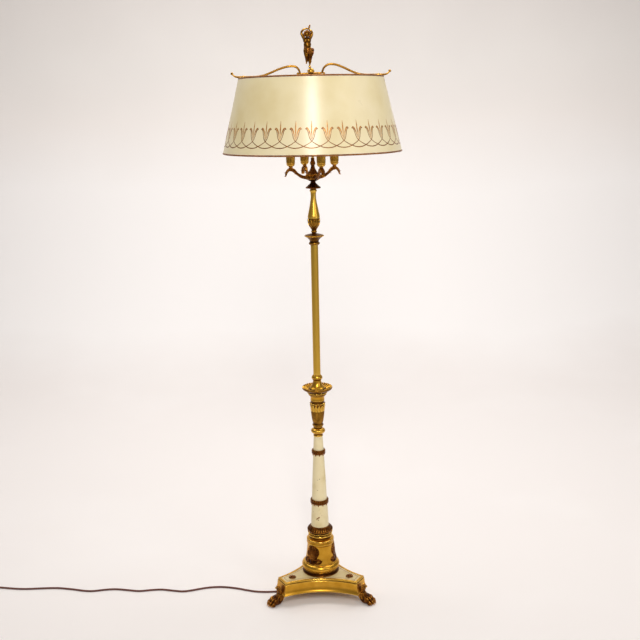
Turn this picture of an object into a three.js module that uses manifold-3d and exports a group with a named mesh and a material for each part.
// Candelabra floor lamp in the French Empire manner: a gilt and painted stand on three lion paws,
// a stacked brass stem, four candle lights and a painted drum shade.
// Units are millimetres, +Z is up, the floor is z = 0 and the lamp's axis is the Z axis.
// Every piece on the axis is a bored ring or shell threaded on one hollow rod, as it is on the bench.

import * as THREE from 'three';
import { mergeVertices } from 'three/addons/utils/BufferGeometryUtils.js';
import Module from 'manifold-3d';

const wasm = await Module();
wasm.setup();

// ---------------------------------------------------------------- driving dimensions

const GAP = 0.3; // air left between pieces that touch
const TOTAL_HEIGHT = 1750;

const ROD_RADIUS = 5; // lower hollow rod that clamps the stack
const ROD_BORE = 5.4; // bore of every piece on it
const UPPER_ROD_RADIUS = 3.6;
const UPPER_BORE = 3.9;

// Insides of the larger castings, which are shells with walls of 4 to 12 mm.
const SOCLE_BORE = 44;
const TORUS_BORE = 42;
const DRUM_BORE = 36;
const COLLAR_BORE = 21;
const KNOP_BORE = 9;
const URN_BORE = 10;
const DISH_BORE = 17;

// Three-sided plinth with hollowed sides and cut corners.
const PLINTH_BOTTOM = 34;
const PLINTH_TOP = 76;
const PANEL_TOP = 75;
const PANEL_THICKNESS = 2.7;
const CORNER_REACH = 135; // axis to the painted panel's cut corner
const SIDE_REACH = 60; // axis to the middle of the panel's hollow side
const SIDE_ARC_RADIUS = 258.5;
const PANEL_FIT = 0.4;
const WEB_BOTTOM = 62;
const WALL = 9;

// Lion paw feet under the three corners.
const PAW_REACH = 171;
const PAW_HALF_LENGTH = 25;
const PAW_HALF_WIDTH = 18;
const PAW_HEIGHT = 31;
const CORNER_ANGLES = { left: 210, right: 330, back: 90 };

// Pedestal, column and stem: heights of the joints in the stack.
const SOCLE_TOP = 87.5;
const TORUS_TOP = 109;
const DRUM_TOP = 184;
const COLLAR_TOP = 230;
const COLUMN_TOP = 522;
const KNOP_TOP = 557.5;
const URN_TOP = 642;
const DISH_TOP = 687;
const DISH_FLOOR = 682;
const FERRULE_TOP = 723.5;
const TUBE_TOP = 1123;
const CUP_TOP = 1158;
const CALYX_TOP = 1203;
const BALUSTER_TOP = 1290;
const INVERTED_DISH_TOP = 1309.5;
const HUB_TOP = 1338;
const SPINDLE_TOP = 1378;
const TUBE_RADIUS = 11.2;
const TUBE_BORE = 9;

// Four candle lights on a cross that is turned about the axis.
const LIGHT_COUNT = 4;
const FIRST_LIGHT_ANGLE = 21;
const LIGHT_REACH = 68;
const ARM_RADIUS = 3.6;
const HUB_RADIUS = 21;
const SEAT_TOP = 1354;
const LIGHT_CUP_TOP = 1412;
const SLEEVE_RADIUS = 9.5;
const SLEEVE_TOP = 1432;
const BULB_TOP = 1522;

// Shade, its two wires and the two-armed carrier that it hangs from.
const SHADE_BOTTOM = 1396;
const SHADE_TOP = 1604;
const SHADE_BOTTOM_RADIUS = 260;
const SHADE_TOP_RADIUS = 208;
const SHADE_SKIN = 1.4;
const WIRE_RADIUS = 2.4;
const CARRIER_ROD = 2.5;
const BOSS_BOTTOM = 1609;
const BOSS_TOP = 1619;

// Finial.
const NUT_TOP = 1631;
const FIGURE_BOTTOM = 1644;

// Flex, its coil and its plug.
const FLEX_RADIUS = 3;
const COIL_CENTRE = [-1128, 19];
const COIL_INNER = 29.5;
const COIL_OUTER = 42.5;
const COIL_BOTTOM = 0.9;
const COIL_HEIGHT = 17.4;
const PLUG_AXIS_HEIGHT = 13.5;

// ---------------------------------------------------------------- finishes

function finish(name, color, roughness, metalness) {
  const material = new THREE.MeshStandardMaterial({ color, roughness, metalness });
  material.name = name;
  return material;
}

const giltBrass = () => finish('gilt brass', '#c9962e', 0.28, 1);
const polishedBrass = () => finish('polished brass', '#d1a53f', 0.2, 1);
const patinatedBrass = () => finish('patinated brass', '#5e3512', 0.5, 1);
const creamPaint = () => finish('cream paint', '#e6dab2', 0.45, 0);
const shadePaint = () => finish('painted shade metal', '#efe3be', 0.5, 0);
const steel = () => finish('zinc plated steel', '#9a9a98', 0.4, 1);
const candleSleeve = () => finish('candle sleeve', '#efe6cf', 0.5, 0);
const bulbGlass = () => finish('bulb glass', '#f4f1e8', 0.12, 0);
const flexCover = () => finish('brown flex', '#5a2a20', 0.6, 0);
const darkPlastic = () => finish('dark plastic', '#33201a', 0.45, 0);

// ---------------------------------------------------------------- shape helpers

const lamp = new THREE.Group();

function add(name, geometry, material, parent = lamp) {
  const mesh = new THREE.Mesh(geometry, material);
  mesh.name = name;
  parent.add(mesh);
  return mesh;
}

const radians = (degrees) => THREE.MathUtils.degToRad(degrees);

// A turned piece: [radius, z] points up its outside, with a bore, or solid where bore is 0.
function turned(outside, bore, segments = 16) {
  const first = outside[0][1];
  const last = outside[outside.length - 1][1];
  const points = [[bore, first], ...outside, [bore, last]];
  if (bore > 0) points.push([bore, first]);
  const profile = points.map(([radius, z]) => new THREE.Vector2(radius, z));
  const geometry = new THREE.LatheGeometry(profile, segments);
  geometry.rotateX(Math.PI / 2);
  return geometry;
}

// Points on a round moulding, as [radius, z], from one angle to another in degrees.
function round(radius, z, size, from, to, steps) {
  const points = [];
  for (let i = 0; i <= steps; i += 1) {
    const angle = radians(from + ((to - from) * i) / steps);
    points.push([radius + size * Math.cos(angle), z + size * Math.sin(angle)]);
  }
  return points;
}

// A round rod along a smooth curve through points.
function rodAlong(points, radius, sides, steps) {
  const curve = new THREE.CatmullRomCurve3(points.map((p) => new THREE.Vector3(...p)), false, 'centripetal');
  const section = new THREE.Shape();
  for (let i = 0; i < sides; i += 1) {
    const angle = (2 * Math.PI * i) / sides;
    const x = radius * Math.cos(angle);
    const y = radius * Math.sin(angle);
    if (i === 0) section.moveTo(x, y);
    else section.lineTo(x, y);
  }
  return new THREE.ExtrudeGeometry(section, { steps, extrudePath: curve, bevelEnabled: false });
}

// An egg-shaped lump: centre and half sizes.
function lump(centre, half, across = 7, up = 5) {
  const geometry = new THREE.SphereGeometry(1, across, up);
  geometry.rotateX(Math.PI / 2);
  geometry.scale(...half);
  geometry.translate(...centre);
  return geometry;
}

function toSolid(geometry) {
  const bare = geometry.clone();
  bare.deleteAttribute('normal');
  bare.deleteAttribute('uv');
  const merged = mergeVertices(bare, 1e-4);
  return new wasm.Manifold(new wasm.Mesh({
    numProp: 3,
    vertProperties: new Float32Array(merged.attributes.position.array),
    triVerts: new Uint32Array(merged.index.array),
  }));
}

function toGeometry(solid) {
  const mesh = solid.getMesh();
  const geometry = new THREE.BufferGeometry();
  geometry.setAttribute('position', new THREE.BufferAttribute(mesh.vertProperties, 3));
  geometry.setIndex(new THREE.BufferAttribute(mesh.triVerts, 1));
  geometry.computeVertexNormals();
  return geometry;
}

const joinAll = (geometries) => geometries.map(toSolid).reduce((whole, piece) => whole.add(piece));

// ---------------------------------------------------------------- plinth and feet

// The plinth's outline, moved outwards by offset: three hollow arcs joined by three straight cuts.
function plinthOutline(offset) {
  const arcRadius = SIDE_ARC_RADIUS - offset;
  const arcCentre = SIDE_REACH + SIDE_ARC_RADIUS;
  const reach = CORNER_REACH + offset - arcCentre / 2;
  const half = radians(30) + Math.asin(reach / arcRadius);
  const steps = 5;
  const points = [];
  for (let side = 0; side < 3; side += 1) {
    const turn = radians(120 * side);
    for (let i = 0; i <= steps; i += 1) {
      const angle = -half + (2 * half * i) / steps;
      const x = arcRadius * Math.sin(angle);
      const y = arcRadius * Math.cos(angle) - arcCentre;
      points.push(new THREE.Vector2(x * Math.cos(turn) - y * Math.sin(turn), x * Math.sin(turn) + y * Math.cos(turn)));
    }
  }
  return points;
}

function plinthSlab(offset, bottom, top) {
  const shape = new THREE.Shape(plinthOutline(offset));
  const geometry = new THREE.ExtrudeGeometry(shape, { depth: top - bottom, bevelEnabled: false });
  geometry.translate(0, 0, bottom);
  return geometry;
}

function rodHole(radius, bottom, top) {
  return turned([[radius, bottom], [radius, top]], 0, 20);
}

function buildPlinth() {
  const steps = [[15, 34, 44], [12.5, 43, 52], [10, 51, 61], [7.5, 60, 65], [9.5, 64, 71], [6.5, 70, PLINTH_TOP]];
  const outside = joinAll(steps.map(([offset, bottom, top]) => plinthSlab(offset, bottom, top)));
  const hollow = toSolid(plinthSlab(-WALL, PLINTH_BOTTOM - 1, WEB_BOTTOM));
  const recess = toSolid(plinthSlab(0, PANEL_TOP - PANEL_THICKNESS - GAP, PLINTH_TOP + 1));
  const hole = toSolid(rodHole(ROD_BORE, PLINTH_BOTTOM, PLINTH_TOP));
  const body = outside.subtract(hollow).subtract(recess).subtract(hole);
  add('plinth_body', toGeometry(body), giltBrass());

  const panel = toSolid(plinthSlab(-PANEL_FIT, PANEL_TOP - PANEL_THICKNESS, PANEL_TOP));
  add('plinth_panel', toGeometry(panel.subtract(hole)), creamPaint());
}

function buildRosette(name, cornerAngle) {
  const base = PANEL_TOP + GAP;
  const geometry = turned([[11, base], [12, base + 1.5], [10, base + 3], [5, base + 3.4], [4, base + 5]], 0, 12);
  const reach = 104;
  const angle = radians(cornerAngle);
  const mesh = add(name, geometry, patinatedBrass());
  mesh.position.set(reach * Math.cos(angle), reach * Math.sin(angle), 0);
}

// A paw with four toes, an ankle under the plinth's corner and an acanthus knee on its face.
function pawGeometry() {
  const pad = lump([PAW_REACH - 4, 0, 6], [PAW_HALF_LENGTH - 4, PAW_HALF_WIDTH - 1, 20], 10, 6);
  const instep = lump([PAW_REACH - 14, 0, 18], [15, 12, 14]);
  const toes = [-1.5, -0.5, 0.5, 1.5].map((place) => {
    const back = 2.2 * place * place;
    return lump([PAW_REACH + 14 - back, place * 9.2, 7], [11, 5.4, 12], 6, 4);
  });
  const ankle = new THREE.CylinderGeometry(13, 11, 25, 10);
  ankle.rotateX(Math.PI / 2);
  ankle.translate(145, 0, PLINTH_BOTTOM - GAP - 12.5);
  const knee = lump([155, 0, 46], [7.5, 15, 19], 10, 6);
  const whole = joinAll([pad, instep, ...toes, ankle, knee]);
  const floorCut = new THREE.BoxGeometry(200, 100, 60);
  floorCut.translate(150, 0, -30);
  const bodyCut = new THREE.BoxGeometry(60, 80, 60);
  bodyCut.translate(CORNER_REACH + 15 + GAP - 30, 0, PLINTH_BOTTOM - GAP + 30);
  return toGeometry(whole.subtract(toSolid(floorCut)).subtract(toSolid(bodyCut)));
}

function buildFeet() {
  for (const [side, angle] of Object.entries(CORNER_ANGLES)) {
    const foot = add(`paw_foot_${side}`, pawGeometry(), patinatedBrass());
    foot.rotation.z = radians(angle);
    buildRosette(`rosette_${side}`, angle);
  }
}

// ---------------------------------------------------------------- pedestal

const DRUM_PROFILE = [[49.5, TORUS_TOP + GAP], [49.2, 113], [47.3, 121], [45, 132], [43.4, 145], [42, 158],
  [41.2, 171], [43, 175], [43, DRUM_TOP]];

// Radius of a profile at a height, on the straight lines between its points.
function radiusAt(profile, z) {
  const above = profile.findIndex((point) => point[1] >= z);
  const top = profile[Math.max(above, 1)];
  const bottom = profile[Math.max(above, 1) - 1];
  const share = (z - bottom[1]) / (top[1] - bottom[1]);
  return bottom[0] + share * (top[0] - bottom[0]);
}

function buildPedestal() {
  const foot = PANEL_TOP + GAP;
  add('socle_ring', turned([[58, foot], [58, 77.5], [55.5, 79], [54, 83], [55.5, SOCLE_TOP]], SOCLE_BORE, 20),
    patinatedBrass());
  const torus = [[55, SOCLE_TOP + GAP], ...round(48, 97, 12, -45, 75, 5), [50.5, TORUS_TOP]];
  add('base_torus', turned(torus, TORUS_BORE, 20), giltBrass());
  add('pedestal_drum', turned(DRUM_PROFILE, DRUM_BORE, 20), giltBrass());
}

// A palmette laid on the drum: a slab bent round it, wide at its foot scrolls and round at its top.
function buildPalmette(name, centreAngle) {
  const bottom = 113.5;
  const top = 168;
  const slab = new THREE.BoxGeometry(1, 1, 1, 8, 6, 1);
  const position = slab.attributes.position;
  for (let i = 0; i < position.count; i += 1) {
    const across = position.getX(i) * 2;
    const up = position.getY(i) + 0.5;
    const z = bottom + up * (top - bottom);
    const halfWidth = up < 0.3 ? 40 - 55 * up : 23.5 * Math.sqrt(Math.max(0.02, 1 - ((up - 0.3) / 0.72) ** 2));
    const stand = position.getZ(i) > 0 ? 3.6 - 1.6 * Math.abs(across) ** 2 : 0;
    const radius = radiusAt(DRUM_PROFILE, z) + 0.45 + stand;
    const angle = radians(centreAngle + across * halfWidth);
    position.setXYZ(i, radius * Math.cos(angle), radius * Math.sin(angle), z);
  }
  add(name, slab, patinatedBrass());
}

// ---------------------------------------------------------------- column

const COLUMN_PROFILE = [[25.6, COLLAR_TOP + GAP], [25.2, 244], [24.2, 268], [23.2, 292], [21.2, 326],
  [20.2, 360], [18.7, 398], [17.3, 424], [16.2, 452], [14.5, 489], [13.4, 510], [12.6, COLUMN_TOP]];

function buildColumn() {
  const bottomBore = 20;
  const topBore = 8.5;
  const profile = [...COLUMN_PROFILE, [topBore, COLUMN_TOP], [bottomBore, COLLAR_TOP + GAP], COLUMN_PROFILE[0]];
  const geometry = new THREE.LatheGeometry(profile.map(([radius, z]) => new THREE.Vector2(radius, z)), 16);
  geometry.rotateX(Math.PI / 2);
  add('column', geometry, creamPaint());
}

// A garland ring hugging the tapered column.
function buildGarland(name, bottom, top, bulge) {
  const middle = (bottom + top) / 2;
  const fit = 0.35;
  const inner = (z) => radiusAt(COLUMN_PROFILE, z) + fit;
  const profile = [
    [inner(bottom), bottom],
    [bulge - 2.5, bottom + 1.5],
    [bulge, middle - 4],
    [bulge, middle + 4],
    [bulge - 2.5, top - 1.5],
    [inner(top), top],
    [inner(bottom), bottom],
  ];
  const geometry = new THREE.LatheGeometry(profile.map(([radius, z]) => new THREE.Vector2(radius, z)), 16);
  geometry.rotateX(Math.PI / 2);
  add(name, geometry, giltBrass());
}

function buildColumnGroup() {
  const collar = [[42.5, DRUM_TOP + GAP], [42.5, 193], [37, 197], [37, 201], [40.2, 206], [40.2, 211],
    [36.5, 219], [27, COLLAR_TOP]];
  add('gadrooned_collar', turned(collar, COLLAR_BORE), giltBrass());
  buildColumn();
  buildGarland('garland_ring_lower', 301, 320, 27.6);
  buildGarland('garland_ring_upper', 463, 483.5, 21.8);
  const knop = [[12.6, COLUMN_TOP + GAP], [14, 527], ...round(13.5, 544, 8.5, -60, 60, 4), [13.4, KNOP_TOP]];
  add('column_knop', turned(knop, KNOP_BORE), giltBrass());
}

// ---------------------------------------------------------------- stem

function buildStem() {
  const urn = [[13, KNOP_TOP + GAP], [16.4, 562], [16.4, 566], [15.2, 568.5], [17.8, 578], [20.1, 592],
    [21.5, 610], [22, 625], [23.4, 632], [22, 636.5], [22, URN_TOP]];
  add('leafed_urn', turned(urn, URN_BORE), patinatedBrass());

  const dish = [[21.8, URN_TOP + GAP], [22.4, 651], [27.6, 661], [27.2, 667.5], [31.6, 671.5], [40.5, 675.5],
    [46.6, 681], [46.6, 685], [44, DISH_TOP], [41, DISH_TOP - 1], [28, DISH_FLOOR]];
  add('drip_dish', turned(dish, DISH_BORE, 20), giltBrass());

  const ferrule = [[25, DISH_FLOOR + GAP], [21, 690], [17.6, 700], [14, 708], [16.4, 713], [16.4, 719],
    [12, FERRULE_TOP]];
  add('trumpet_ferrule', turned(ferrule, ROD_BORE), giltBrass());
  add('stem_tube', turned([[TUBE_RADIUS, FERRULE_TOP + GAP], [TUBE_RADIUS, TUBE_TOP]], TUBE_BORE),
    polishedBrass());

  const cup = [[12, TUBE_TOP + GAP], [16.6, 1126.5], [16.6, 1130], [12.6, 1133.5], [15.4, 1141], [22, 1147],
    [29.4, 1151], [29, 1153.5], [14, 1156], [8, CUP_TOP]];
  add('beaded_cup', turned(cup, ROD_BORE), giltBrass());

  const calyx = [[6.6, CUP_TOP + GAP], [7.6, 1163], [7, 1168], [14.5, 1180], [18.7, 1192], [18.4, CALYX_TOP]];
  add('calyx', turned(calyx, ROD_BORE), giltBrass());

  const baluster = [[18.1, CALYX_TOP + GAP], [16.2, 1217], [12.6, 1235], [9.2, 1252], [7.7, 1266], [8.6, 1280],
    [10.3, 1284], [8.6, BALUSTER_TOP]];
  add('baluster', turned(baluster, ROD_BORE, 14), polishedBrass());

  const inverted = [[22.2, BALUSTER_TOP + GAP], [22.4, 1293.5], [14.5, 1299.5], [9, 1305], [6.7, INVERTED_DISH_TOP]];
  add('inverted_dish', turned(inverted, ROD_BORE), patinatedBrass());

  const hub = [[7, INVERTED_DISH_TOP + GAP], [17, 1315], [HUB_RADIUS, 1318], [HUB_RADIUS, 1328], [15, 1335],
    [13, HUB_TOP]];
  add('arm_hub', turned(hub, ROD_BORE), patinatedBrass());

  const spindle = [[12.6, HUB_TOP + GAP], [7.6, 1346], [5.4, 1354], [5.8, 1361], [7.8, 1367], [6, 1373],
    [5.4, SPINDLE_TOP]];
  add('hub_spindle', turned(spindle, UPPER_BORE, 14), patinatedBrass());
}

// The lower rod reaches from its nut under the plinth up into the hub, the upper one to the finial.
function buildRods() {
  const nutBottom = 46;
  const lowerTop = 1330;
  const base = [[ROD_RADIUS, nutBottom - 4], [ROD_RADIUS, lowerTop]];
  add('tie_rod', turned(base, UPPER_ROD_RADIUS + 0.4, 16), steel());
  const hexagon = turned([[11, nutBottom], [11, 54.5]], 0, 6);
  const washer = turned([[20, 54], [20, WEB_BOTTOM - GAP]], 0, 20);
  const nut = joinAll([hexagon, washer]).subtract(toSolid(rodHole(ROD_BORE, nutBottom - 1, WEB_BOTTOM)));
  add('base_nut', toGeometry(nut), steel());
  const upper = [[UPPER_ROD_RADIUS, lowerTop - 40], [UPPER_ROD_RADIUS, 1626]];
  add('shade_rod', turned(upper, 0, 12), polishedBrass());
}

// ---------------------------------------------------------------- candle lights

// One arm from the hub to its downward beak, with the seat for the candle cup.
function armGeometry() {
  const path = [[HUB_RADIUS + GAP, 0, 1323], [33, 0, 1324.5], [46, 0, 1332], [58, 0, 1342.5], [LIGHT_REACH, 0, 1348],
    [78, 0, 1346.5], [84.5, 0, 1340], [86, 0, 1329]];
  const rod = rodAlong(path, ARM_RADIUS, 6, 13);
  const seat = new THREE.CylinderGeometry(5.6, 5.6, 8, 10);
  seat.rotateX(Math.PI / 2);
  seat.translate(LIGHT_REACH, 0, SEAT_TOP - 4);
  const hubRoom = turned([[HUB_RADIUS + GAP, 1300], [HUB_RADIUS + GAP, 1345]], 0, 32);
  return toGeometry(joinAll([rod, seat]).subtract(toSolid(hubRoom)));
}

function buildLight(number, angle) {
  const light = new THREE.Group();
  light.rotation.z = radians(angle);
  lamp.add(light);
  add(`candle_arm_${number}`, armGeometry(), patinatedBrass(), light);

  const stand = new THREE.Group();
  stand.position.x = LIGHT_REACH;
  light.add(stand);
  const wallRadius = SLEEVE_RADIUS + GAP;
  const cupFloor = 1361;
  const cup = [[0, SEAT_TOP + GAP], [6, SEAT_TOP + GAP], [10.6, 1357.5], [11.2, 1362], [12.2, 1408],
    [12.6, LIGHT_CUP_TOP], [wallRadius, LIGHT_CUP_TOP], [wallRadius, cupFloor], [0, cupFloor]];
  const cupShape = new THREE.LatheGeometry(cup.map(([radius, z]) => new THREE.Vector2(radius, z)), 12);
  cupShape.rotateX(Math.PI / 2);
  add(`candle_cup_${number}`, cupShape, giltBrass(), stand);

  const socketRadius = 7;
  const socketFloor = 1404;
  const sleeve = [[0, cupFloor + GAP], [SLEEVE_RADIUS, cupFloor + GAP], [SLEEVE_RADIUS, SLEEVE_TOP],
    [socketRadius, SLEEVE_TOP], [socketRadius, socketFloor], [0, socketFloor]];
  const sleeveShape = new THREE.LatheGeometry(sleeve.map(([radius, z]) => new THREE.Vector2(radius, z)), 12);
  sleeveShape.rotateX(Math.PI / 2);
  add(`candle_sleeve_${number}`, sleeveShape, candleSleeve(), stand);

  const bulb = [[6.6, socketFloor + GAP], [6.6, SLEEVE_TOP + 1], [13.5, 1446], [17.2, 1460], [15.5, 1479],
    [8, 1506], [2.5, BULB_TOP]];
  add(`bulb_${number}`, turned(bulb, 0, 10), bulbGlass(), stand);
}

// ---------------------------------------------------------------- shade

function shadeRadius(z) {
  const share = (z - SHADE_BOTTOM) / (SHADE_TOP - SHADE_BOTTOM);
  return SHADE_BOTTOM_RADIUS + share * (SHADE_TOP_RADIUS - SHADE_BOTTOM_RADIUS);
}

function buildShade() {
  const bottom = SHADE_BOTTOM + WIRE_RADIUS + GAP;
  const top = SHADE_TOP - WIRE_RADIUS - GAP;
  const outer = (z) => [shadeRadius(z) - 1, z];
  const inner = (z) => [shadeRadius(z) - 1 - SHADE_SKIN, z];
  const profile = [outer(bottom), outer(top), inner(top), inner(bottom), outer(bottom)];
  const shell = new THREE.LatheGeometry(profile.map(([radius, z]) => new THREE.Vector2(radius, z)), 48);
  shell.rotateX(Math.PI / 2);
  add('shade_shell', shell, shadePaint());
  for (const [name, z] of [['shade_wire_bottom', SHADE_BOTTOM], ['shade_wire_top', SHADE_TOP]]) {
    const wire = new THREE.TorusGeometry(shadeRadius(z) - WIRE_RADIUS, WIRE_RADIUS, 5, 36);
    wire.translate(0, 0, z);
    add(name, wire, giltBrass());
  }
}

// Two scrolled arms out of one boss: up to a crest, down to the rim wire and out to a ball tip.
function buildCarrier() {
  const rest = SHADE_TOP + WIRE_RADIUS + GAP + CARRIER_ROD;
  const side = [[4, 0, 1616], [22, 0, 1616], [34, 0, 1616.5], [42, 0, 1625], [52, 0, 1633.5], [64, 0, 1636],
    [84, 0, 1631], [108, 0, 1620.5], [130, 0, 1612.5], [152, 0, rest], [204, 0, rest - 0.3], [216, 0, 1610.5],
    [224, 0, 1616]];
  const arm = rodAlong(side, CARRIER_ROD, 6, 19);
  const tip = lump([225, 0, 1617.5], [4, 4, 4], 6, 4);
  const nut = turned([[4.5, rest + 1], [4.5, rest + 5.5], [2, rest + 7]], 0, 6);
  nut.translate(193, 0, 0);
  const boss = turned([[7, BOSS_BOTTOM], [8.6, 1612], [8.6, BOSS_TOP]], 0, 16);
  const right = joinAll([arm, tip, nut]);
  const left = right.rotate([0, 0, 180]);
  const bore = toSolid(rodHole(UPPER_BORE, BOSS_BOTTOM - 5, NUT_TOP));
  add('shade_carrier', toGeometry(toSolid(boss).add(right).add(left).subtract(bore)), giltBrass());
}

// ---------------------------------------------------------------- finial

function buildFinial() {
  const base = BOSS_TOP + GAP;
  const nut = [[UPPER_BORE, base], [9.2, base], [9.4, 1622], [7.6, 1627.5], [4, 1630.4], [0, NUT_TOP],
    [0, 1627], [UPPER_BORE, 1627], [UPPER_BORE, base]];
  const nutShape = new THREE.LatheGeometry(nut.map(([radius, z]) => new THREE.Vector2(radius, z)), 16);
  nutShape.rotateX(Math.PI / 2);
  add('finial_nut', nutShape, giltBrass());

  // A winged child on a thin post, one foot down, both arms raised to hold a torch.
  const post = turned([[2.2, NUT_TOP + GAP], [2.2, 1652]], 0, 8);
  const pieces = [
    lump([-5, 0, 1647], [6, 5, 3]),
    lump([-5, 0, 1660], [7, 6, 16]),
    lump([-4, 1, 1680], [12, 8, 13]),
    lump([-9, 0, 1694], [10, 8, 16]),
    lump([-9, 0, 1706], [12, 7, 7]),
    lump([-10, -1, 1722], [7.5, 8, 9]),
    lump([-23, 0, 1718], [6, 5, 12]),
    lump([2, 0, 1720], [5, 5, 13]),
    lump([-4, 0, 1737], [6, 5, TOTAL_HEIGHT - 1737]),
  ];
  const solid = joinAll([post, ...pieces]);
  add('finial_figure', toGeometry(solid), giltBrass());
}

// ---------------------------------------------------------------- flex and plug

// The flex's run from the relief under the plinth, out past its left foot and along the floor.
const FLEX_ROUTE = [[-46.5, 0, 18.5], [-62, 0, 14.5], [-84, -1, 8], [-110, -4, 4], [-146, -8, FLEX_RADIUS],
  [-180, -9, FLEX_RADIUS], [-212, -5, FLEX_RADIUS], [-242, 5, FLEX_RADIUS], [-270, 16, FLEX_RADIUS],
  [-302, 25, FLEX_RADIUS], [-335, 29, FLEX_RADIUS], [-377, 24, FLEX_RADIUS], [-438, 5, FLEX_RADIUS],
  [-478, 10, FLEX_RADIUS], [-517, 19, FLEX_RADIUS], [-554, 17, FLEX_RADIUS], [-590, 12, FLEX_RADIUS],
  [-626, 19, FLEX_RADIUS], [-668, 27, FLEX_RADIUS], [-704, 25, FLEX_RADIUS], [-738, 18, FLEX_RADIUS],
  [-768, 20, FLEX_RADIUS], [-808, 31, FLEX_RADIUS], [-862, 42, FLEX_RADIUS], [-915, 42, FLEX_RADIUS],
  [-965, 40, FLEX_RADIUS], [-1006, 44, FLEX_RADIUS], [-1054, 53, FLEX_RADIUS], [-1084, 57, 3.2],
  [-1104.5, 58.2, 3.6]];

function buildFlex() {
  // A side outlet screwed under the nut turns the flex level, and a tapered relief holds it.
  const outlet = turned([[10, 12.5], [12.5, 15], [12.5, 38], [9, 41.5]], 0, 16);
  add('cord_outlet', outlet, darkPlastic());
  const relief = turned([[5.6, 0], [5.6, 6], [4.2, 30]], FLEX_RADIUS + GAP, 12);
  const mesh = add('cord_relief', relief, darkPlastic());
  mesh.rotation.y = radians(-105);
  mesh.position.set(-15.6, 0, 26.5);

  const steps = 60;
  add('flex', rodAlong(FLEX_ROUTE, FLEX_RADIUS, 8, steps), flexCover());
}

function buildCoil() {
  const [x, y] = COIL_CENTRE;
  const top = COIL_BOTTOM + COIL_HEIGHT;
  const coil = add('flex_coil', turned([[COIL_OUTER, COIL_BOTTOM], [COIL_OUTER, top]], COIL_INNER, 28), flexCover());
  coil.position.set(x, y, 0);

  const width = COIL_OUTER - COIL_INNER;
  const slack = 0.5;
  const band = 0.4;
  const outer = new THREE.BoxGeometry(width + 2 * (slack + band), 6, COIL_HEIGHT + 2 * (slack + band));
  const inner = new THREE.BoxGeometry(width + 2 * slack, 10, COIL_HEIGHT + 2 * slack);
  const tie = add('coil_tie', toGeometry(toSolid(outer).subtract(toSolid(inner))), darkPlastic());
  const angle = radians(-50);
  const reach = (COIL_OUTER + COIL_INNER) / 2;
  tie.rotation.z = angle;
  tie.position.set(x + reach * Math.cos(angle), y + reach * Math.sin(angle), COIL_BOTTOM + COIL_HEIGHT / 2);
}

// The two-pin plug beside the coil, lying on its side.
function buildPlug() {
  const pieces = [];
  const tail = turned([[4.2, 0], [6.4, 24], [11, 26], [12.5, 32], [12.5, 44], [16, 54], [16, 60], [14, 62]], 0, 12);
  tail.scale(1, 0.8, 1);
  pieces.push(tail);
  for (const side of [-1, 1]) {
    const pin = turned([[2.4, 60], [2.4, 80], [1.4, 81]], 0, 6);
    pin.translate(side * 9.5, 0, 0);
    pieces.push(pin);
  }
  const plug = add('plug', toGeometry(joinAll(pieces)), darkPlastic());
  plug.rotation.x = radians(90);
  plug.position.set(-1167, -7, PLUG_AXIS_HEIGHT);
}

// ---------------------------------------------------------------- assembly

buildPlinth();
buildFeet();
buildPedestal();
buildPalmette('palmette_front', -90 - 32);
buildPalmette('palmette_right', -90 + 88);
buildPalmette('palmette_back', -90 + 208);
buildColumnGroup();
buildStem();
buildRods();
for (let i = 0; i < LIGHT_COUNT; i += 1) {
  buildLight(i + 1, FIRST_LIGHT_ANGLE + (360 / LIGHT_COUNT) * i);
}
buildShade();
buildCarrier();
buildFinial();
buildFlex();
buildCoil();
buildPlug();

export default lamp;
